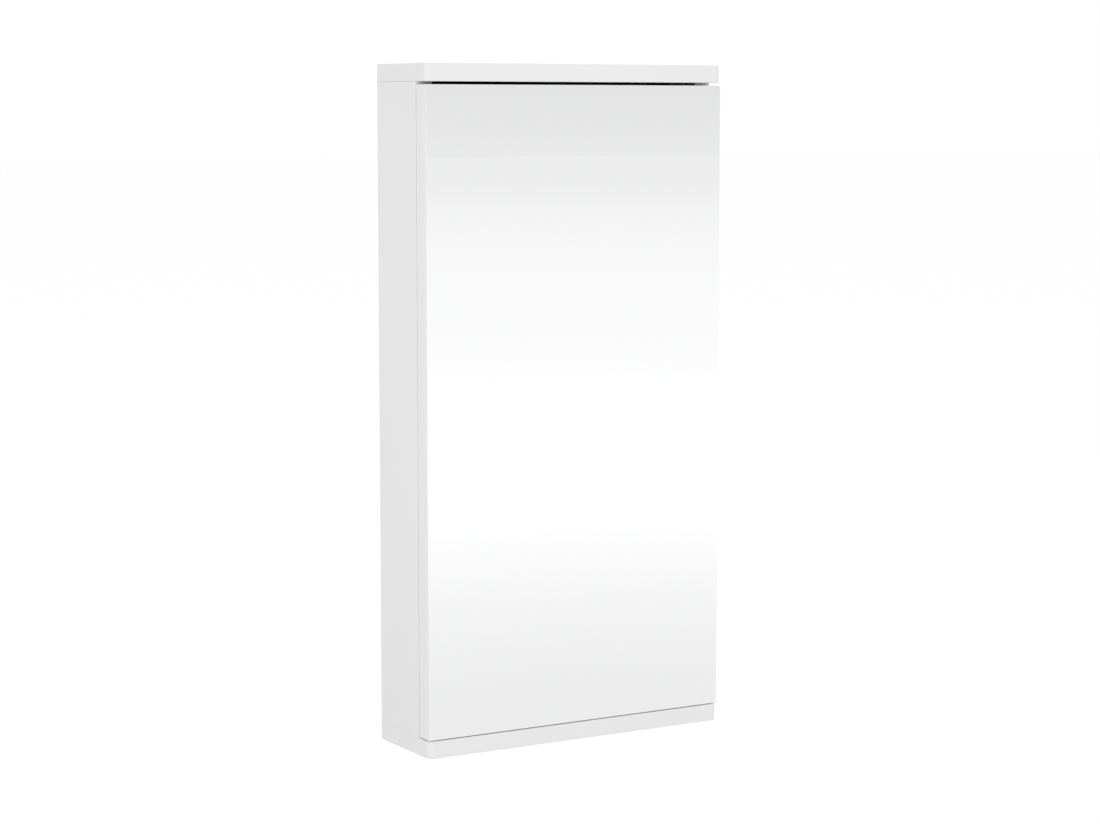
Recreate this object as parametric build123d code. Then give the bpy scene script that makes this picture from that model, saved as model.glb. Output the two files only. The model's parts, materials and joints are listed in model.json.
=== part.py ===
from build123d import *
import os
from math import acos, atan2, cos, degrees, hypot, pi, radians, sin, tan

# A corner wall cabinet with a full-height mirror door.
# The front looks along -Y, +Z is up, and the two back panels lie on the two walls of a room's corner.
# All sizes are in millimetres.

# Cabinet
width = 350.0                   # over both side panels
height = 700.0
side_depth = 105.0              # from the mirror's face to the wall, along a side
wall_angle = 45.0               # between each wall and the front
board = 18.0                    # top, bottom and side boards
back_board = 12.0
corner_radius = 5.0             # upright front corners of the top and bottom boards
eased_edge = 1.0                # lacquered edges that show
back_edge = 0.4                 # broken edges of the back panels
joint_fit = 0.05                # round a dowel, pin or screw in its own hole

# Door
slot_above = 3.0                # between the door and the top board
slot_below = 1.0
door_gap = 0.6                  # between the door's back and the sides' front edges
mirror_thickness = 4.0
mirror_edge = 0.4               # polished arris
tape_thickness = 0.5
tape_width = 25.0
tape_count = 4
tape_margin = 20.0              # from the door's edges
door_board = 16.0
door_edge = 0.5
door_opening = 95.0             # degrees
buffer_radius = 4.0
buffer_height = 1.8
buffer_seat_gap = 0.2           # left between a buffer and the side it lands on
buffer_inset = 9.0              # from the door's free edge
buffer_end_inset = 40.0         # from the door's ends
buffer_clearance = 0.2

# Shelves
shelf_thickness = 6.0
shelf_clearance = 1.5
shelf_setback = 12.0            # behind the sides' front edges
shelf_nose = 30.0               # flat cut across the shelf's rear corner
shelf_edge = 0.5
shelf_end_room = 190.0          # from the cabinet's ends to the pins of the outer shelves
hole_pitch = 32.0
spare_holes = (-1, 0, 1)
support_pin_radius = 2.5
support_pin_length = 8.0
support_hole_depth = 9.0
support_collar_radius = 4.5
support_collar = 1.0
support_reach = 9.0
support_width = 8.0
support_tongue = 3.0
support_top = 2.5               # the tongue's top above the pin's axis
side_support_inset = 40.0       # behind the sides' front edges
back_support_out = 105.0        # from the rear corner, along the wall

# Knock-down fittings
dowel_radius = 4.0
dowel_length = 30.0
dowel_in_board = 12.0
dowel_front_inset = 13.0
dowel_rear_inset = 20.0
thin_dowel_radius = 3.0
thin_dowel_length = 24.0
thin_dowel_in_board = 8.0
thin_dowel_outs = (55.0, 180.0)     # from the rear corner, along the wall
dowel_chamfer = 1.0
cam_radius = 7.5
cam_height = 12.5
cam_reach = 24.0                # from the joint to the cam's axis
cam_key_width = 1.6
cam_key_depth = 1.5
bolt_thread_radius = 3.0
bolt_thread_length = 10.0
bolt_shank_radius = 2.5
bolt_head_radius = 3.5
bolt_head_length = 4.0
bolt_hole_radius = 4.0
hole_end_gap = 1.0

# Holes for the wall screws
wall_screw_radius = 2.75
wall_screw_out = 75.0           # from the rear corner, along the wall
wall_screw_inset = 90.0         # from the cabinet's ends

# Concealed cup hinges, measured from the side panel's inner front corner:
# u runs across the opening, w forward towards the viewer.
hinge_inset = 110.0             # from the cabinet's ends
arm_outer_pivot = (20.0, -6.2)
arm_inner_pivot = (15.5, 3.0)
cup_outer_pivot = (-7.0, 2.9)
cup_inner_pivot = (-6.2, 7.7)
pin_radius = 1.1
pin_running = 0.05
slot_clearance = 0.12
layer_gap = 0.3
inner_link_half = 2.0
plate_thickness = 1.5           # the arm's nose plates and the outer link's plates
eye_wall = 1.1
link_half_width = 1.7
outer_link_bow = 2.8
inner_link_bow = 3.0
cup_offset = 3.0                # the cup's axis, along u
cup_radius = 17.5
cup_depth = 12.4
cup_wall = 1.2
cup_floor = 0.8
cup_fit = 0.1
mouth_length = 9.0              # the gap in the cup's wall that the arm's nose dips into
mouth_depth = 5.5
mouth_half_width = 6.3
cup_post_radius = 2.8           # lugs that hold the cup's pins
cup_post_rise = 1.4             # below the cup's rim
flange_thickness = 1.2
flange_start = 1.0
flange_width = 19.0
flange_half_length = 29.0
flange_corner = 5.0
cup_screw_offset = 9.5
cup_screw_half_pitch = 22.5
cup_screw_radius = 1.75
cup_screw_length = 12.0
cup_screw_head = 3.6

# Closing spring, coiled round the arm's outer pin
spring_wire = 0.45              # the wire's radius
spring_turns = 3
spring_pitch = 1.0
spring_fit = 0.15               # between the pin and the coil
spring_seat = 0.05              # between a leg and what it bears on
spring_leg_reach = 7.0          # behind the pin, along the arm's back

# Hinge arm and its mounting plate
arm_half_width = 9.5
arm_sheet = 1.5
arm_nose_height = 25.5
arm_tail_height = 13.0
arm_front = -4.5
arm_nose_rear = -20.0
arm_slope_rear = -36.0
arm_rear = -62.0
arm_cheek_rise = 2.6
nose_root_rear = -14.0
plate_rear = -60.0
plate_front = -18.0
plate_half_width = 7.5
plate_height = 6.0
plate_boss_front = -46.0
plate_boss_half_width = 5.0
plate_line = -37.0              # the plate screws' distance behind the sides' front edges
wing_half_length = 23.0
wing_half_width = 7.0
wing_height = 2.2
plate_screw_half_pitch = 16.0
plate_screw_radius = 2.5
plate_screw_length = 12.0
plate_screw_head = 4.0
screw_head_height = 2.0
fixing_line = -52.0
adjusting_line = -30.0
arm_screw_radius = 2.9
arm_screw_head = 4.2
adjusting_point = 1.0           # the adjusting screw's slim tip into the plate
recess_width = 1.0
recess_depth = 1.1

# Places that follow from the sizes
half_width = width / 2
wall_turn = radians(wall_angle)
overall_depth = side_depth + half_width * tan(wall_turn)
front_y = -overall_depth / 2
apex_y = overall_depth / 2
inner_x = half_width - board
inner_height = height - 2 * board
board_front_y = front_y + mirror_thickness + tape_thickness
door_back_y = board_front_y + door_board
sides_front_y = door_back_y + door_gap
door_bottom = board + slot_below
door_height = inner_height - slot_below - slot_above
shelf_levels = {"lower": shelf_end_room, "middle": height / 2, "upper": height - shelf_end_room}
wall_screw_levels = {"lower": wall_screw_inset, "upper": height - wall_screw_inset}
hinge_levels = {"lower": hinge_inset, "upper": height - hinge_inset}
fine = 0.01


def wall_y(x):
    """The wall's place behind a point at x."""
    return apex_y - abs(x) * tan(wall_turn)


def prism(points, bottom, tall):
    """An upright solid over an outline seen from above."""
    return Pos(0, 0, bottom) * extrude(make_face(Polyline(*points, close=True)), amount=tall)


def cabinet_outline():
    side_end = wall_y(half_width)
    return [
        (-half_width, front_y),
        (half_width, front_y),
        (half_width, side_end),
        (0, apex_y),
        (-half_width, side_end),
    ]


def along_wall(side, out, inset=0.0):
    """A point on a wall's inner side, its distance from the rear corner and from the wall."""
    x = out * cos(wall_turn) - inset * sin(wall_turn)
    y = apex_y - out * sin(wall_turn) - inset * cos(wall_turn)
    return side * x, y


def inward_turn(side):
    """The turn about Z that points +X from a wall into the cabinet."""
    return degrees(atan2(-cos(wall_turn), -side * sin(wall_turn)))


def upright(radius, low, high):
    return Pos(0, 0, low) * Cylinder(radius, high - low, align=(Align.CENTER, Align.CENTER, Align.MIN))


def lying(radius, start, end):
    """A round bar along +X."""
    return Rot(0, 90, 0) * upright(radius, start, end)


# Where the fittings sit. Their holes use the same lists.
def side_dowel_spots(side):
    x = side * (half_width - board / 2)
    return [(x, sides_front_y + dowel_front_inset), (x, wall_y(x) - dowel_rear_inset)]


def cam_spot(side):
    (x, front), (_, rear) = side_dowel_spots(side)
    return x, (front + rear) / 2


def back_dowel_spots(side):
    return [along_wall(side, out, back_board / 2) for out in thin_dowel_outs]


def at_both_ends(shape):
    """A fitting drawn at the bottom joint, and its twin turned over at the top joint."""
    top = Pos(0, 0, height) * mirror(shape, about=Plane.XY)
    return [shape, top]


def dowel(radius, length, in_board):
    low = board - in_board
    body = upright(radius, low, low + length)
    return chamfer(body.edges().filter_by(GeomType.CIRCLE), dowel_chamfer)


def dowel_hole(radius, length, in_board):
    low = board - in_board - hole_end_gap
    return upright(radius + joint_fit, low, low + length + 2 * hole_end_gap)


def cam_bolt():
    head_top = board + cam_reach + bolt_head_length / 2
    head = upright(bolt_head_radius, head_top - bolt_head_length, head_top)
    shank = upright(bolt_shank_radius, board, head_top - bolt_head_length / 2)
    collar = upright(bolt_head_radius, board, board + bolt_head_length)
    thread = upright(bolt_thread_radius, board - bolt_thread_length, board)
    return head + shank + collar + thread


def cam_bolt_hole():
    thread = upright(bolt_thread_radius + joint_fit, board - bolt_thread_length - hole_end_gap, board)
    return thread + upright(bolt_hole_radius, board, board + cam_reach)


def cam_seat(side, extra=0.0):
    """The cam's round body, let into the side panel's inner face."""
    x, y = cam_spot(side)
    place = Pos(side * inner_x, y, board + cam_reach) * Rot(0, 0, 0 if side > 0 else 180)
    return place * lying(cam_radius + extra, 0, cam_height + extra)


def cam(side):
    x, y = cam_spot(side)
    level = board + cam_reach
    arms = [
        Pos(side * (inner_x + cam_key_depth / 2), y, level) * Box(cam_key_depth, wide, tall)
        for wide, tall in ((cam_radius, cam_key_width), (cam_key_width, cam_radius))
    ]
    pocket = Pos(x, y, 0) * upright(
        bolt_head_radius + joint_fit, board, level + bolt_head_length / 2 + joint_fit
    )
    return cam_seat(side) - arms - pocket


# Carcass boards
def end_board(bottom):
    """The top or bottom board: it reaches the mirror's face, with eased edges on its front and sides."""
    body = prism(cabinet_outline(), bottom, board)
    corners = [e for e in body.edges().filter_by(Axis.Z) if e.center().Y < front_y + fine]
    body = fillet(corners, corner_radius)
    side_end = wall_y(half_width)
    shown = [
        e
        for e in body.edges()
        if e.center().Z < bottom + fine or e.center().Z > bottom + board - fine
    ]
    shown = [e for e in shown if e.bounding_box().max.Y < side_end + fine]
    return fillet(shown, eased_edge)


def board_holes():
    """The holes in the bottom board's upper face."""
    holes = []
    for side in (-1, 1):
        for x, y in side_dowel_spots(side):
            holes.append(Pos(x, y, 0) * dowel_hole(dowel_radius, dowel_length, dowel_in_board))
        for x, y in back_dowel_spots(side):
            hole = dowel_hole(thin_dowel_radius, thin_dowel_length, thin_dowel_in_board)
            holes.append(Pos(x, y, 0) * hole)
        x, y = cam_spot(side)
        holes.append(Pos(x, y, 0) * cam_bolt_hole())
    return holes


def support_hole():
    return lying(support_pin_radius + joint_fit, -support_hole_depth, 0)


def support_places(level):
    """Four places round one shelf: a frame with +X pointing off the panel."""
    y = sides_front_y + side_support_inset
    places = [Pos(-inner_x, y, level), Pos(inner_x, y, level) * Rot(0, 0, 180)]
    for side in (-1, 1):
        x, y = along_wall(side, back_support_out, back_board)
        places.append(Pos(x, y, level) * Rot(0, 0, inward_turn(side)))
    return places


def shelf_hole_rows():
    levels = [z + step * hole_pitch for z in shelf_levels.values() for step in spare_holes]
    return [place * support_hole() for z in levels for place in support_places(z)]


def side_panel(side):
    outline = [
        (side * half_width, sides_front_y),
        (side * inner_x, sides_front_y),
        (side * inner_x, wall_y(inner_x)),
        (side * half_width, wall_y(half_width)),
    ]
    body = prism(outline, board, inner_height)
    for x, y in side_dowel_spots(side):
        hole = Pos(x, y, 0) * dowel_hole(dowel_radius, dowel_length, dowel_in_board)
        body -= at_both_ends(hole)
    x, y = cam_spot(side)
    body -= at_both_ends(Pos(x, y, 0) * cam_bolt_hole())
    body -= at_both_ends(cam_seat(side, joint_fit))
    body -= shelf_hole_rows()
    if side > 0:
        places = hinge_places().values()
        body -= [place * hole for place in places for hole in plate_screw_holes()]
    return body


def wall_layer(side):
    """The space that a back panel fills against its wall, wider than the cabinet."""
    layer = Box(2 * back_board, overall_depth * 2, inner_height)
    x, y = along_wall(side, 0)
    return Pos(x, y, height / 2) * Rot(0, 0, inward_turn(side)) * layer


def wall_screw_place(side, level):
    x, y = along_wall(side, wall_screw_out, back_board)
    return Pos(x, y, level) * Rot(0, 0, inward_turn(side))


def back_panels():
    """The left panel runs into the rear corner and the right one butts against it."""
    room = prism(cabinet_outline(), board, inner_height)
    room &= Pos(0, 0, height / 2) * Box(2 * inner_x, 2 * overall_depth, height)
    left = room & wall_layer(-1)
    right = (room & wall_layer(1)) - left
    panels = {}
    for side, name, body in ((-1, "left_back_panel", left), (1, "right_back_panel", right)):
        body = chamfer(body.edges().filter_by(Axis.Z), back_edge)
        for x, y in back_dowel_spots(side):
            hole = dowel_hole(thin_dowel_radius, thin_dowel_length, thin_dowel_in_board)
            body -= at_both_ends(Pos(x, y, 0) * hole)
        for level in wall_screw_levels.values():
            hole = lying(wall_screw_radius, -2 * back_board, back_board)
            body -= wall_screw_place(side, level) * hole
        panels[name] = body - shelf_hole_rows()
    return panels


# Shelves
def shelf(level):
    side_end = wall_y(inner_x) - back_board / cos(wall_turn)
    rear = apex_y - back_board / cos(wall_turn)
    front = sides_front_y + shelf_setback
    outline = [
        (-inner_x, front - shelf_clearance),
        (inner_x, front - shelf_clearance),
        (inner_x, side_end),
        (0, rear),
        (-inner_x, side_end),
    ]
    room = make_face(Polyline(*outline, close=True))
    face = offset(room, -shelf_clearance, kind=Kind.INTERSECTION)
    body = Pos(0, 0, level + support_top) * extrude(face, amount=shelf_thickness)
    nose_y = rear - shelf_nose / 2 * tan(wall_turn)
    body -= Pos(0, nose_y, level) * Box(
        shelf_nose * 2, overall_depth, height, align=(Align.CENTER, Align.MIN, Align.CENTER)
    )
    return chamfer(body.faces().filter_by(Axis.Z).edges(), shelf_edge)


def shelf_support():
    pin = lying(support_pin_radius, -support_pin_length, 0)
    collar = lying(support_collar_radius, 0, support_collar)
    tongue = Pos(0, 0, support_top) * Box(
        support_reach, support_width, support_tongue, align=(Align.MIN, Align.CENTER, Align.MAX)
    )
    return pin + collar + tongue


# Door
def door_panel():
    low = Align.MIN
    place = Pos(0, board_front_y, door_bottom)
    body = place * Box(width, door_board, door_height, align=(Align.CENTER, low, low))
    body = chamfer(body.edges(), door_edge)
    for place in hinge_places().values():
        body -= place * cup_recess()
    return body - [place * buffer_recess() for place in buffer_places()]


def mirror_pane():
    low = Align.MIN
    body = Box(width, mirror_thickness, door_height, align=(Align.CENTER, low, low))
    return chamfer((Pos(0, front_y, door_bottom) * body).edges(), mirror_edge)


def mirror_tapes():
    low = Align.MIN
    tall = door_height - 2 * tape_margin
    first = -half_width + tape_margin + tape_width / 2
    step = -2 * first / (tape_count - 1)
    strip = Box(tape_width, tape_thickness, tall, align=(Align.CENTER, low, low))
    level = door_bottom + tape_margin
    y = front_y + mirror_thickness
    return [Pos(first + i * step, y, level) * strip for i in range(tape_count)]


def buffer_places():
    """On the door's back, near its free edge: +X points off the door."""
    x = -half_width + buffer_inset
    levels = (door_bottom + buffer_end_inset, door_bottom + door_height - buffer_end_inset)
    return [Pos(x, door_back_y, z) * Rot(0, 0, 90) for z in levels]


def buffer_pad():
    top = door_gap - buffer_seat_gap
    pad = lying(buffer_radius, top - buffer_height, top)
    rim = [e for e in pad.edges().filter_by(GeomType.CIRCLE) if e.center().X > 0]
    return chamfer(rim, top / 2)


def buffer_recess():
    top = door_gap - buffer_seat_gap
    return lying(buffer_radius + buffer_clearance, top - buffer_height, buffer_height)


# Hinge linkage. The outer link turns on the arm and carries the door, and the inner link steers it.
def turned(vector, angle):
    x, y = vector
    return x * cos(angle) - y * sin(angle), x * sin(angle) + y * cos(angle)


def minus(p, q):
    return p[0] - q[0], p[1] - q[1]


def plus(p, q):
    return p[0] + q[0], p[1] + q[1]


def steered_pin(outer_share, angle):
    """The cup's inner pivot when the door has turned by an angle and the outer link by its share."""
    arm_to_cup = minus(cup_outer_pivot, arm_outer_pivot)
    cup_outer = plus(arm_outer_pivot, turned(arm_to_cup, outer_share * angle))
    return plus(cup_outer, turned(minus(cup_inner_pivot, cup_outer_pivot), angle))


def link_shares():
    """Each link's turn per degree of the door, for a loop that closes with the door shut and open."""
    full = radians(door_opening)
    inner_length = hypot(*minus(cup_inner_pivot, arm_inner_pivot))
    low, high = -0.8, 0.0
    for _ in range(60):
        share = (low + high) / 2
        if hypot(*minus(steered_pin(share, full), arm_inner_pivot)) < inner_length:
            low = share
        else:
            high = share
    start = atan2(*reversed(minus(cup_inner_pivot, arm_inner_pivot)))
    end = atan2(*reversed(minus(steered_pin(share, full), arm_inner_pivot)))
    return share, ((end - start + pi) % (2 * pi) - pi) / full


def inner_pin_travel():
    """How far the cup's inner pin strays along and across the inner link on the way."""
    outer_share, inner_share = link_shares()
    link = minus(cup_inner_pivot, arm_inner_pivot)
    length = hypot(*link)
    along, across = [0.0], [0.0]
    steps = 40
    for step in range(steps + 1):
        angle = radians(door_opening) * step / steps
        pin = minus(steered_pin(outer_share, angle), arm_inner_pivot)
        x, y = turned(pin, -inner_share * angle - atan2(link[1], link[0]))
        along.append(x - length)
        across.append(y)
    return min(along), max(along), min(across), max(across)


def hinge_places():
    """Each hinge's frame: u and w run against +X and +Y of the cabinet."""
    return {
        name: Pos(inner_x, sides_front_y, z) * Rot(0, 0, 180) for name, z in hinge_levels.items()
    }


def layer(face, low, high):
    """A plate cut from an outline and its mirror image, either side of the hinge's middle."""
    plate = Pos(0, 0, low) * extrude(face, amount=high - low)
    return [plate, mirror(plate, about=Plane.XY)]


def spot(point, radius):
    return Pos(*point, 0) * Circle(radius)


def bowed_bar(start, end, bow, half):
    """A curved bar between two pivots, bowed to the left of the way from start to end."""
    along = minus(end, start)
    length = hypot(*along)
    middle = plus(start, (along[0] / 2 - along[1] / length * bow, along[1] / 2 + along[0] / length * bow))
    return trace(ThreePointArc(start, middle, end), 2 * half)


nose_low = inner_link_half + layer_gap
nose_high = nose_low + plate_thickness
outer_low = nose_high + layer_gap
outer_high = outer_low + plate_thickness
post_low = outer_high + layer_gap
eye_radius = pin_radius + eye_wall
hole_radius = pin_radius + pin_running


def outer_link():
    face = bowed_bar(cup_outer_pivot, arm_outer_pivot, outer_link_bow, link_half_width)
    face += [spot(cup_outer_pivot, eye_radius), spot(arm_outer_pivot, eye_radius)]
    face -= [spot(cup_outer_pivot, hole_radius), spot(arm_outer_pivot, hole_radius)]
    return layer(face, outer_low, outer_high)


def inner_link():
    """A bar with a round eye on the arm and a long eye, with clearance, on the cup's pin."""
    near, far, right, left = inner_pin_travel()
    slot_half = pin_radius + slot_clearance
    long, wide = far - near + 2 * slot_half, left - right + 2 * slot_half
    link = minus(cup_inner_pivot, arm_inner_pivot)
    turn = degrees(atan2(link[1], link[0]))
    place = Pos(*arm_inner_pivot, 0) * Rot(0, 0, turn)
    place *= Pos(hypot(*link) + (near + far) / 2, (left + right) / 2, 0)
    eye = place * RectangleRounded(long + 2 * eye_wall, wide + 2 * eye_wall, slot_half + eye_wall)
    slot = place * RectangleRounded(long, wide, slot_half)
    face = bowed_bar(cup_inner_pivot, arm_inner_pivot, inner_link_bow, link_half_width)
    face += [eye, spot(arm_inner_pivot, eye_radius)]
    face -= [slot, spot(arm_inner_pivot, hole_radius)]
    return Pos(0, 0, -inner_link_half) * extrude(face, amount=2 * inner_link_half)


def arm_pins():
    outer = Pos(*arm_outer_pivot, 0) * upright(pin_radius, -outer_high, outer_high)
    inner = Pos(*arm_inner_pivot, 0) * upright(pin_radius, -nose_high, nose_high)
    return [outer, inner]


def closing_spring():
    """One leg bears on the arm's back, and the other crosses over to the inner link's round eye."""
    coil = pin_radius + spring_fit + spring_wire
    back = arm_nose_height - arm_sheet - spring_wire - spring_seat
    back_end = (back, arm_outer_pivot[1] - spring_leg_reach)
    away = minus(back_end, arm_outer_pivot)
    first = atan2(away[1], away[0]) + acos(coil / hypot(*away))
    reach = eye_radius + spring_wire + spring_seat
    apart = minus(arm_inner_pivot, arm_outer_pivot)
    last = atan2(apart[1], apart[0]) - acos((coil + reach) / hypot(*apart))
    link_end = minus(arm_inner_pivot, turned((reach, 0), last))

    turns = spring_turns + (last - first) / (2 * pi) % 1
    tall = turns * spring_pitch
    place = Pos(*arm_outer_pivot, -tall / 2) * Rot(0, 0, degrees(first))
    path = place * Helix(spring_pitch, tall, coil)
    wire = Circle(spring_wire)
    body = sweep(Plane(path @ 0, z_dir=path % 0) * wire, path=path)
    for start, end in (((*back_end, -tall / 2), path @ 0), ((*link_end, tall / 2), path @ 1)):
        leg = Line(start, end)
        body += extrude(Plane(start, z_dir=leg % 0) * wire, amount=leg.length)
        body += Pos(*end) * Sphere(spring_wire)
    return body


def cup_bore():
    return cup_radius - cup_fit - cup_wall


def cup_pin_reach(point, radius):
    """How far from the hinge's middle a pin can reach before the cup's wall."""
    off = abs(point[0] - cup_offset) + radius
    return (cup_bore() ** 2 - off**2) ** 0.5


def cup_pins():
    inner_reach = cup_pin_reach(cup_inner_pivot, pin_radius)
    inner = Pos(*cup_inner_pivot, 0) * upright(pin_radius, -inner_reach, inner_reach)
    outer_reach = cup_pin_reach(cup_outer_pivot, pin_radius)
    outer = Pos(*cup_outer_pivot, 0) * upright(pin_radius, outer_low, outer_reach)
    return [inner, outer, mirror(outer, about=Plane.XY)]


def forward(radius, low, high):
    """A round bar along w on the cup's axis."""
    return Pos(cup_offset, 0, 0) * Rot(-90, 0, 0) * upright(radius, low, high)


def cup_recess():
    hole = forward(cup_radius, door_gap, door_gap + cup_depth + cup_fit)
    screw_hole = upright(cup_screw_radius + joint_fit, door_gap, door_gap + cup_screw_length)
    return hole + [place * Rot(-90, 0, 0) * screw_hole for place in cup_screw_places()]


def cup_screw_places():
    u = cup_offset + cup_screw_offset
    return [Pos(u, 0, z) for z in (-cup_screw_half_pitch, cup_screw_half_pitch)]


def flange():
    low = Align.MIN
    u = flange_start
    plate = Pos(u, door_gap - flange_thickness, 0) * Box(
        flange_width, flange_thickness, 2 * flange_half_length, align=(low, low, Align.CENTER)
    )
    return fillet(plate.edges().filter_by(Axis.Y), flange_corner)


def hinge_cup():
    rim = door_gap
    shell = forward(cup_radius - cup_fit, rim, rim + cup_depth)
    bore = forward(cup_bore(), rim - 2 * flange_thickness, rim + cup_depth - cup_floor)
    posts = []
    face = make_hull(
        (spot(cup_outer_pivot, cup_post_radius) + spot(cup_inner_pivot, cup_post_radius)).edges()
    )
    inside = forward(cup_radius - cup_fit - fine, rim, rim + cup_depth - fine)
    room = 4 * cup_radius
    rim_room = Pos(0, rim + cup_post_rise - cup_radius, 0) * Box(room, room / 2, room)
    for post in layer(face, post_low, cup_radius):
        posts.append((post & inside) - rim_room)
    mouth = Box(
        mouth_length,
        2 * mouth_depth,
        2 * mouth_half_width,
        align=(Align.MAX, Align.CENTER, Align.CENTER),
    )
    body = (shell + flange()) - bore - Pos(cup_offset + cup_radius + fine, rim, 0) * mouth
    body += posts
    body -= cup_pins()
    for place in cup_screw_places():
        body -= place * Rot(-90, 0, 0) * upright(
            cup_screw_radius + joint_fit, rim - 2 * flange_thickness, rim + flange_thickness
        )
    return body


def cross_recess(level, toward):
    """Cutters for a cross in a screw head whose face is at a level on Z."""
    cutters = []
    for wide, tall in ((recess_width, 3 * recess_width), (3 * recess_width, recess_width)):
        cutters.append(Pos(0, 0, level - toward * recess_depth / 2) * Box(wide, tall, recess_depth))
    return cutters


def screw(radius, head_radius, length):
    """A screw standing on Z: its head's seat at 0, its point below."""
    body = upright(radius, -length, 0) + upright(head_radius, 0, screw_head_height)
    return body - cross_recess(screw_head_height, 1)


def cup_screws():
    seat = door_gap - flange_thickness
    body = screw(cup_screw_radius, cup_screw_head, cup_screw_length - 2 * hole_end_gap)
    return [place * Pos(0, seat, 0) * Rot(90, 0, 0) * body for place in cup_screw_places()]


# Hinge arm and mounting plate
def side_view(points, low, high):
    """A solid over an outline in u and w, between two levels."""
    return Pos(0, 0, low) * extrude(make_face(Polyline(*points, close=True)), amount=high - low)


def arm_outline(skin):
    """The arm's side view, drawn in by a skin on its back and open below and in front."""
    open_low = arm_cheek_rise - (arm_nose_height if skin else 0)
    open_front = arm_front + (arm_nose_height if skin else 0)
    open_rear = arm_rear - (arm_nose_height if skin else 0)
    return [
        (open_low, open_rear),
        (arm_tail_height - skin, open_rear),
        (arm_tail_height - skin, arm_slope_rear),
        (arm_nose_height - skin, arm_nose_rear),
        (arm_nose_height - skin, open_front),
        (open_low, open_front),
    ]


def arm_screw_place(line):
    """On the arm's back at a line: +Z points away from the side panel."""
    rise = arm_tail_height
    if line > arm_slope_rear:
        share = (line - arm_slope_rear) / (arm_nose_rear - arm_slope_rear)
        rise += share * (arm_nose_height - arm_tail_height)
    return Pos(rise, line, 0) * Rot(0, 90, 0)


def hinge_arm():
    body = side_view(arm_outline(0), -arm_half_width, arm_half_width)
    inside = arm_half_width - arm_sheet
    body -= side_view(arm_outline(arm_sheet), -inside, inside)
    cheek_cut = [
        (arm_cheek_rise - fine, arm_nose_rear),
        (arm_nose_height - 2 * arm_sheet, arm_front + fine),
        (arm_cheek_rise - fine, arm_front + fine),
    ]
    body -= side_view(cheek_cut, -arm_half_width - fine, arm_half_width + fine)
    root = [
        (arm_nose_height - arm_sheet / 2, nose_root_rear),
        (arm_nose_height - arm_sheet / 2, arm_front),
    ]
    ends = [spot(arm_outer_pivot, eye_radius), spot(arm_inner_pivot, eye_radius)]
    nose = make_hull((ends[0] + [spot(p, arm_sheet / 4) for p in root]).edges())
    nose += make_hull((ends[0] + ends[1]).edges())
    body += layer(nose, nose_low, nose_high)
    body -= arm_pins()
    body -= arm_screw_place(fixing_line) * upright(arm_screw_radius + joint_fit, -2 * arm_sheet, arm_sheet)
    body -= adjusting_place() * upright(arm_screw_radius + joint_fit, 0, arm_nose_height)
    return body


def adjusting_place():
    """On the plate's top under the adjusting screw: +Z points away from the side panel."""
    return Pos(plate_height, adjusting_line, 0) * Rot(0, 90, 0)


def mounting_plate():
    low = Align.MIN
    base = side_view(
        [(0, plate_rear), (plate_height, plate_rear), (plate_height, plate_front), (0, plate_front)],
        -plate_half_width,
        plate_half_width,
    )
    boss_top = arm_tail_height - arm_sheet
    boss = side_view(
        [(0, plate_rear), (boss_top, plate_rear), (boss_top, plate_boss_front), (0, plate_boss_front)],
        -plate_boss_half_width,
        plate_boss_half_width,
    )
    wing = Pos(0, plate_line, 0) * Box(
        wing_height, 2 * wing_half_width, 2 * wing_half_length, align=(low, Align.CENTER, Align.CENTER)
    )
    wing = fillet(wing.edges().filter_by(Axis.X), wing_half_width / 2)
    body = base + boss + wing
    hole = lying(plate_screw_radius + joint_fit, -wing_height, 2 * wing_height)
    body -= [place * hole for place in plate_screw_places()]
    body -= arm_screw_place(fixing_line) * upright(
        arm_screw_radius + joint_fit, -(arm_tail_height - wing_height), 0
    )
    body -= adjusting_place() * upright(adjusting_point + joint_fit, -wing_height, fine)
    return body


def plate_screw_places():
    """On the side panel's inner face: +X points into the cabinet."""
    return [Pos(0, plate_line, z) for z in (-plate_screw_half_pitch, plate_screw_half_pitch)]


def plate_screw_holes():
    hole = lying(plate_screw_radius + joint_fit, -plate_screw_length - hole_end_gap, fine)
    return [place * hole for place in plate_screw_places()]


def plate_screws():
    body = Pos(wing_height, 0, 0) * Rot(0, 90, 0) * screw(
        plate_screw_radius, plate_screw_head, plate_screw_length + wing_height
    )
    return [place * body for place in plate_screw_places()]


def fixing_screw():
    length = arm_tail_height - wing_height - hole_end_gap
    return arm_screw_place(fixing_line) * screw(arm_screw_radius, arm_screw_head, length)


def adjusting_screw():
    """Threaded through the arm's sloping back, its slim tip in the mounting plate."""
    top = arm_screw_place(adjusting_line).position.X - plate_height + arm_screw_radius
    body = upright(arm_screw_radius, 0, top) + upright(adjusting_point, -wing_height, 0)
    return adjusting_place() * (body - cross_recess(top, 1))


def save(name, shape):
    solids = shape if isinstance(shape, list) else [shape]
    pieces = [s for part in solids for s in part.solids()]
    out = pieces[0] if len(pieces) == 1 else Compound(children=pieces)
    export_step(out, f"parts/{name}.step")


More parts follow.
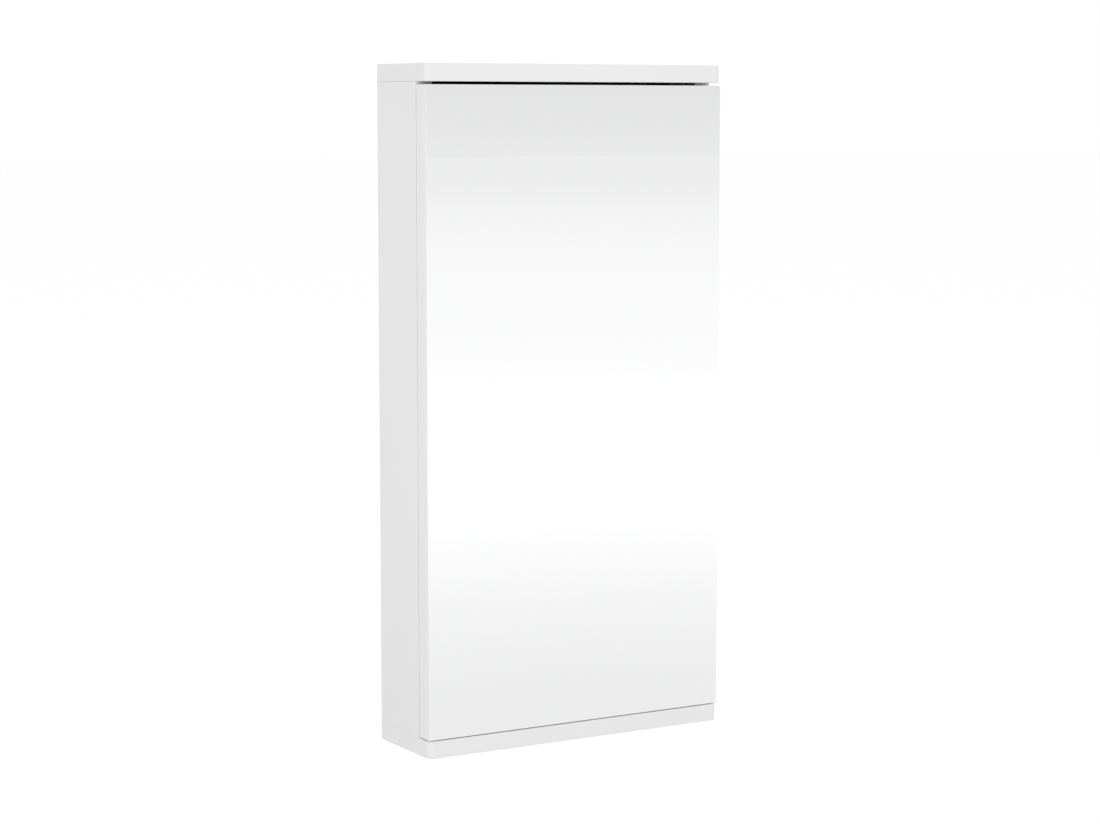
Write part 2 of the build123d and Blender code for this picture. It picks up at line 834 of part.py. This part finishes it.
def save_carcass():
    low_board = end_board(0) - board_holes()
    high_holes = [at_both_ends(hole)[1] for hole in board_holes()]
    save("bottom_board", low_board)
    save("top_board", end_board(height - board) - high_holes)
    save("left_side_panel", side_panel(-1))
    save("right_side_panel", side_panel(1))
    for name, panel in back_panels().items():
        save(name, panel)
    wide = dowel(dowel_radius, dowel_length, dowel_in_board)
    thin = dowel(thin_dowel_radius, thin_dowel_length, thin_dowel_in_board)
    side_dowels, back_dowels, bolts, cams = [], [], [], []
    for side in (-1, 1):
        for x, y in side_dowel_spots(side):
            side_dowels += at_both_ends(Pos(x, y, 0) * wide)
        for x, y in back_dowel_spots(side):
            back_dowels += at_both_ends(Pos(x, y, 0) * thin)
        x, y = cam_spot(side)
        bolts += at_both_ends(Pos(x, y, 0) * cam_bolt())
        cams += at_both_ends(cam(side))
    save("side_dowels", side_dowels)
    save("back_dowels", back_dowels)
    save("cam_bolts", bolts)
    save("cam_locks", cams)


def save_shelves():
    for name, level in shelf_levels.items():
        save(f"{name}_shelf", shelf(level))
        save(f"{name}_shelf_supports", [place * shelf_support() for place in support_places(level)])


def save_door():
    save("door_board", door_panel())
    save("mirror_glass", mirror_pane())
    save("mirror_tapes", mirror_tapes())
    save("door_buffers", [place * buffer_pad() for place in buffer_places()])


def save_hinges():
    parts = {
        "hinge_arm": hinge_arm(),
        "arm_pins": arm_pins(),
        "closing_spring": closing_spring(),
        "mounting_plate": mounting_plate(),
        "plate_screws": plate_screws(),
        "fixing_screw": fixing_screw(),
        "adjusting_screw": adjusting_screw(),
        "outer_link": outer_link(),
        "inner_link": inner_link(),
        "hinge_cup": hinge_cup(),
        "cup_pins": cup_pins(),
        "cup_screws": cup_screws(),
    }
    for level, place in hinge_places().items():
        for name, shape in parts.items():
            pieces = shape if isinstance(shape, list) else [shape]
            save(f"{level}_{name}", [place * piece for piece in pieces])


def print_joints():
    """The hinge's axes and ratios, as the record states them."""
    outer_share, inner_share = link_shares()
    door_share = 1 - outer_share
    for name, (u, w) in {
        "outer link on the arm": arm_outer_pivot,
        "inner link on the arm": arm_inner_pivot,
        "door on the outer link": cup_outer_pivot,
        "door on the inner link": cup_inner_pivot,
    }.items():
        print(name, round(inner_x - u, 3), round(sides_front_y - w, 3))
    print("door_swing range", round(door_opening * door_share, 4))
    print("outer ratio", round(outer_share / door_share, 6))
    print("inner ratio", round(inner_share / door_share, 6))
    print("pin travel in the inner link", [round(v, 3) for v in inner_pin_travel()])


os.makedirs("parts", exist_ok=True)
save_carcass()
save_shelves()
save_door()
save_hinges()
print_joints()
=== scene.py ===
import json
from math import radians

import bpy
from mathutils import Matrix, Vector


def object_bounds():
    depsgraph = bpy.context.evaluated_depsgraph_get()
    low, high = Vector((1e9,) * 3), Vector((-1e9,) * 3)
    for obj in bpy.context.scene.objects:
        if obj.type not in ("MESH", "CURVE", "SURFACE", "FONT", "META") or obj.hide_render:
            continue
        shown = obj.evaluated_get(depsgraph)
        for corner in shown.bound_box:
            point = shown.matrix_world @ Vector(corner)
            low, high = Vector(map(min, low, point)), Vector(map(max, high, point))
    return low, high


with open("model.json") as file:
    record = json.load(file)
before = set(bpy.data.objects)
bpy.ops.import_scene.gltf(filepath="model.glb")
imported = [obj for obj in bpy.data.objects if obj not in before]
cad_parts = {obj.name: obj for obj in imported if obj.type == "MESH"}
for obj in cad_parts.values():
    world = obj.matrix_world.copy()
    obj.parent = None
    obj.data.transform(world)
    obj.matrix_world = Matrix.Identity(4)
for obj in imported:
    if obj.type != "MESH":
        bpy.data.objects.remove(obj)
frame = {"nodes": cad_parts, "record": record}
cad_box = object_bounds()
front_y = cad_box[0][1]

# Camera: the photograph's viewpoint, in metres from the cabinet's foot
eye = Vector((-1.4164, -2.4781, 0.6549))
heading = radians(30.615)           # from straight ahead, towards the right
downward = radians(6.482)
focal_length = 87.325
sensor_width = 36.0

# Lights
white = (1.0, 1.0, 1.0, 1.0)
ambient = 0.72
light_target = Vector((0.0, 0.0, 0.35))
key_place = (-2.2, -2.8, 1.9)
key_size = 2.6
key_power = 40.0
fill_place = (2.6, -2.0, 1.8)
fill_size = 2.4
fill_power = 8.0

# Floor
floor_size = 60.0
floor_tone = 0.35
floor_glow = 0.74                   # what the camera sees on top of the floor's own shading
floor_bounce = 0.50                 # what the object gets on top of the floor's own shading
pool_near = (0.10, 2.00)            # distances from the cabinet, in the mirror's view of the floor: painted shade close to the cabinet, a painted pool of light further out
pool_near_glow = (0.575, 0.755)
# Painted falloff of that pool of light, dimmer far from the cabinet, seen only by gloss
pool_far = (3.0, 24.0)
pool_far_share = 0.835

# The studio's far walls and ceiling, as gloss sees them. Heights are those of the view's direction.
wall_heights = (-0.022, 0.006)
wall_tones = (0.865, 0.805)
ceiling_heights = (0.0, 0.35)

# Finishes. Each pair holds the two tones that a noise blends.
noise_middle = (0.3, 0.7)           # the part of a noise's range that is stretched over a finish's values
even = (1.0, 1.0, 1.0)              # noise with no grain
lacquer = ((0.835, 0.835, 0.835), (0.86, 0.86, 0.86))
silver = (0.955, 0.96, 0.958)
glass_rim = ((0.83, 0.85, 0.845), (0.87, 0.89, 0.885))
glass_tint = (0.90, 0.965, 0.94)
glass_edge = ((0.50, 0.74, 0.65), (0.60, 0.82, 0.74))
tape = ((0.78, 0.78, 0.76), (0.86, 0.86, 0.84))
clear_pad = ((0.84, 0.85, 0.85), (0.90, 0.91, 0.91))
beech_wood = ((0.62, 0.42, 0.24), (0.76, 0.57, 0.37))
beech_grain = (1.0, 1.0, 0.04)
nickel = (0.66, 0.64, 0.61)
nickel_grain = (1.0, 0.15, 1.0)
zinc = (0.58, 0.60, 0.63)
spring_steel = (0.34, 0.34, 0.35)
dull_share = 0.9                    # of a metal's tone in its darker clouds
mirror_face_depth = 0.00005         # of the mirror's front that carries the reflection
flat_normal = 0.9                   # how upright a shelf face's normal is at least on its top and underside


def fill(node, values):
    """Sets a node's sockets and settings by name, with _ for a space in a socket's name."""
    for name, value in values.items():
        socket = node.inputs.get(name.replace("_", " "))
        if socket is not None:
            socket.default_value = value
        else:
            setattr(node, name, value)


def highest(tree, first, second):
    node = tree.nodes.new("ShaderNodeMath")
    node.operation = "MAXIMUM"
    tree.links.new(first, node.inputs[0])
    tree.links.new(second, node.inputs[1])
    return node.outputs["Value"]


def ranged(tree, source, source_range, target_range, smooth=True):
    node = tree.nodes.new("ShaderNodeMapRange")
    node.interpolation_type = "SMOOTHSTEP" if smooth else "LINEAR"
    tree.links.new(source, node.inputs["Value"])
    for socket, value in zip(node.inputs[1:5], (*source_range, *target_range)):
        socket.default_value = value
    return node.outputs["Result"]


def seen_directly(tree):
    """1 for what the camera, gloss and glass see, 0 for the light that falls on the object."""
    rays = tree.nodes.new("ShaderNodeLightPath")
    gloss = highest(tree, rays.outputs["Is Glossy Ray"], rays.outputs["Is Transmission Ray"])
    return rays, highest(tree, rays.outputs["Is Camera Ray"], gloss)


class Finish:
    """A material under construction: its node tree and its main shader."""

    def __init__(self, name, **values):
        self.material = bpy.data.materials.new(name)
        self.material.use_nodes = True
        self.tree = self.material.node_tree
        self.shader = self.tree.nodes["Principled BSDF"]
        self.output = self.tree.nodes["Material Output"]
        self.place = self.tree.nodes.new("ShaderNodeTexCoord").outputs["Object"]
        fill(self.shader, values)

    def add(self, kind, **values):
        node = self.tree.nodes.new(kind)
        fill(node, values)
        return node

    def link(self, source, target):
        self.tree.links.new(source, target)

    def noise(self, scale, detail=2.0, stretch=even):
        """Noise over the piece's own coordinates, with its scale in features per metre."""
        mapping = self.add("ShaderNodeMapping", Scale=stretch)
        texture = self.add("ShaderNodeTexNoise", Scale=scale, Detail=detail)
        self.link(self.place, mapping.inputs["Vector"])
        self.link(mapping.outputs["Vector"], texture.inputs["Vector"])
        return texture.outputs["Fac"]

    def spread(self, noise, low, high):
        return ranged(self.tree, noise, noise_middle, (low, high), smooth=False)

    def vary_colour(self, noise, tones, shader=None):
        mix = self.add("ShaderNodeMix", data_type="RGBA")
        for name, tone in zip("AB", tones):
            mix.inputs[name].default_value = (*tone, 1.0)
        self.link(self.spread(noise, 0.0, 1.0), mix.inputs["Factor"])
        self.link(mix.outputs["Result"], (shader or self.shader).inputs["Base Color"])

    def vary_roughness(self, noise, low, high):
        self.link(self.spread(noise, low, high), self.shader.inputs["Roughness"])

    def bump(self, noise, height, strength):
        node = self.add("ShaderNodeBump", Strength=strength, Distance=height)
        self.link(noise, node.inputs["Height"])
        self.link(node.outputs["Normal"], self.shader.inputs["Normal"])

    def axis(self, vector, name):
        split = self.add("ShaderNodeSeparateXYZ")
        self.link(vector, split.inputs["Vector"])
        return split.outputs[name]

    def calculate(self, operation, first, second=None):
        node = self.add("ShaderNodeMath", operation=operation)
        self.link(first, node.inputs[0])
        if second is not None:
            node.inputs[1].default_value = second
        return node.outputs["Value"]

    def switch(self, factor, other):
        """The main shader where the factor is 0, the other where it is 1."""
        choice = self.add("ShaderNodeMixShader")
        self.link(factor, choice.inputs["Fac"])
        self.link(self.shader.outputs["BSDF"], choice.inputs[1])
        self.link(other.outputs["BSDF"], choice.inputs[2])
        self.link(choice.outputs["Shader"], self.output.inputs["Surface"])


def lacquered_board(name):
    """Satin white lacquer: a faint orange peel and a slightly uneven sheen."""
    finish = Finish(name, Coat_Weight=0.12, Coat_Roughness=0.18)
    finish.vary_colour(finish.noise(7.0), lacquer)
    finish.vary_roughness(finish.noise(38.0), 0.34, 0.44)
    finish.bump(finish.noise(620.0, 1.0), 0.00003, 0.35)
    return finish.material


def mirror_glass():
    """Silvered in front, with polished edges all round."""
    finish = Finish("mirror", Metallic=1.0, Base_Color=(*silver, 1.0))
    finish.vary_roughness(finish.noise(16.0), 0.002, 0.010)
    rim = finish.add("ShaderNodeBsdfPrincipled", Roughness=0.08, IOR=1.52, Coat_Weight=0.4)
    finish.vary_colour(finish.noise(90.0), glass_rim, rim)
    depth = finish.axis(finish.place, "Y")
    finish.switch(finish.calculate("GREATER_THAN", depth, front_y + mirror_face_depth), rim)
    return finish.material


def shelf_glass():
    """Clear float glass with a green, ground edge."""
    finish = Finish("shelf_glass", Transmission_Weight=1.0, IOR=1.5, Base_Color=(*glass_tint, 1.0))
    finish.vary_roughness(finish.noise(24.0), 0.0, 0.02)
    edge = finish.add("ShaderNodeBsdfPrincipled", Transmission_Weight=0.55, IOR=1.5, Roughness=0.3)
    finish.vary_colour(finish.noise(160.0), glass_edge, edge)
    normal = finish.add("ShaderNodeNewGeometry").outputs["True Normal"]
    steepness = finish.calculate("ABSOLUTE", finish.axis(normal, "Z"))
    finish.switch(finish.calculate("LESS_THAN", steepness, flat_normal), edge)
    return finish.material


def plated_metal(name, colour, sheen_low, sheen_high, grain=even):
    """Plated steel: fine rolling marks and uneven polish."""
    finish = Finish(name, Metallic=1.0)
    finish.vary_colour(finish.noise(55.0), (colour, tuple(dull_share * c for c in colour)))
    finish.vary_roughness(finish.noise(240.0, 3.0, grain), sheen_low, sheen_high)
    finish.bump(finish.noise(900.0, 2.0, grain), 0.00001, 0.3)
    return finish.material


def foam_tape():
    finish = Finish("tape", Roughness=0.85)
    finish.vary_colour(finish.noise(700.0), tape)
    finish.bump(finish.noise(1500.0), 0.00005, 0.5)
    return finish.material


def silicone():
    finish = Finish("buffer", Transmission_Weight=0.35, IOR=1.41, Coat_Weight=0.2)
    finish.vary_colour(finish.noise(400.0), clear_pad)
    finish.vary_roughness(finish.noise(300.0), 0.30, 0.42)
    return finish.material


def beech():
    finish = Finish("dowel", Roughness=0.6)
    grain = finish.noise(900.0, 4.0, beech_grain)
    finish.vary_colour(grain, beech_wood)
    finish.bump(grain, 0.00005, 0.5)
    return finish.material


def dress_nodes():
    """Every CAD node takes the finish that the record's slot names."""
    finishes = {
        "white_board": lacquered_board("white_board"),
        "door_board": lacquered_board("door_board"),
        "mirror": mirror_glass(),
        "shelf_glass": shelf_glass(),
        "tape": foam_tape(),
        "buffer": silicone(),
        "dowel": beech(),
        "zinc": plated_metal("zinc", zinc, 0.36, 0.5),
        "nickel": plated_metal("nickel", nickel, 0.16, 0.28, nickel_grain),
        "spring_steel": plated_metal("spring_steel", spring_steel, 0.3, 0.42),
        "screw": plated_metal("screw", zinc, 0.24, 0.34),
    }
    for part in frame["record"]["subparts"]:
        node = frame["nodes"][part["node"]]
        for slot in node.material_slots:
            slot.material = finishes[part["material_slot"]]


def make_world():
    """White where it is seen, with greyer far walls in the mirror, and an even light on the object."""
    world = bpy.data.worlds.new("studio")
    world.use_nodes = True
    bpy.context.scene.world = world
    tree = world.node_tree
    lighting = tree.nodes["Background"]
    lighting.inputs["Color"].default_value = white
    lighting.inputs["Strength"].default_value = ambient
    backdrop = tree.nodes.new("ShaderNodeBackground")
    backdrop.inputs["Color"].default_value = white
    rays, seen = seen_directly(tree)
    place = tree.nodes.new("ShaderNodeTexCoord")
    split = tree.nodes.new("ShaderNodeSeparateXYZ")
    tree.links.new(place.outputs["Generated"], split.inputs["Vector"])
    wall = ranged(tree, split.outputs["Z"], wall_heights, wall_tones, smooth=False)
    ceiling = ranged(tree, split.outputs["Z"], ceiling_heights, (0.0, 1.0))
    room = highest(tree, wall, ceiling)
    tree.links.new(highest(tree, rays.outputs["Is Camera Ray"], room), backdrop.inputs["Strength"])
    choice = tree.nodes.new("ShaderNodeMixShader")
    tree.links.new(seen, choice.inputs["Fac"])
    tree.links.new(lighting.outputs["Background"], choice.inputs[1])
    tree.links.new(backdrop.outputs["Background"], choice.inputs[2])
    tree.links.new(choice.outputs["Shader"], tree.nodes["World Output"].inputs["Surface"])


def make_floor():
    """A plain pale floor that keeps the shadow. Gloss sees a painted pool of light around the cabinet, with
    painted shade close to it.
    """
    bpy.ops.mesh.primitive_plane_add(size=floor_size)
    floor = bpy.context.object
    floor.name = "floor"
    finish = Finish("floor", Roughness=0.9, Specular_IOR_Level=0.0)
    finish.shader.inputs["Base Color"].default_value = (floor_tone, floor_tone, floor_tone, 1.0)
    tree = finish.tree
    rays, seen = seen_directly(tree)
    length = finish.add("ShaderNodeVectorMath", operation="LENGTH")
    finish.link(finish.place, length.inputs[0])
    away = length.outputs["Value"]
    # Painted shade near the cabinet and painted falloff far away, as the floor's glow for gloss
    near = ranged(tree, away, pool_near, pool_near_glow)
    far = ranged(tree, away, pool_far, (1.0, pool_far_share))
    pool = finish.add("ShaderNodeMath", operation="MULTIPLY")
    finish.link(near, pool.inputs[0])
    finish.link(far, pool.inputs[1])
    glow = finish.add("ShaderNodeMix")
    glow.inputs["B"].default_value = floor_glow
    finish.link(rays.outputs["Is Camera Ray"], glow.inputs["Factor"])
    finish.link(pool.outputs["Value"], glow.inputs["A"])
    level = finish.add("ShaderNodeMix")
    level.inputs["A"].default_value = floor_bounce
    finish.link(seen, level.inputs["Factor"])
    finish.link(glow.outputs["Result"], level.inputs["B"])
    emission = finish.add("ShaderNodeEmission")
    finish.link(level.outputs["Result"], emission.inputs["Strength"])
    total = finish.add("ShaderNodeAddShader")
    finish.link(finish.shader.outputs["BSDF"], total.inputs[0])
    finish.link(emission.outputs["Emission"], total.inputs[1])
    finish.link(total.outputs["Shader"], finish.output.inputs["Surface"])
    floor.data.materials.append(finish.material)


def make_softbox(name, place, size, power):
    """A soft lamp that lights the object without showing as a shape in the mirror."""
    data = bpy.data.lights.new(name, "AREA")
    data.shape = "SQUARE"
    data.size = size
    data.energy = power
    lamp = bpy.data.objects.new(name, data)
    lamp.location = place
    lamp.rotation_euler = (light_target - Vector(place)).to_track_quat("-Z", "Y").to_euler()
    lamp.visible_glossy = False
    bpy.context.scene.collection.objects.link(lamp)


def make_camera():
    data = bpy.data.cameras.new("camera")
    data.sensor_width = sensor_width
    data.lens = focal_length
    camera = bpy.data.objects.new("camera", data)
    camera.location = eye
    camera.rotation_euler = (radians(90.0) - downward, 0.0, -heading)
    bpy.context.scene.collection.objects.link(camera)
    bpy.context.scene.camera = camera


dress_nodes()
make_world()
make_floor()
make_softbox("key", key_place, key_size, key_power)
make_softbox("fill", fill_place, fill_size, fill_power)
make_camera()
bpy.context.scene.view_settings.view_transform = "Standard"
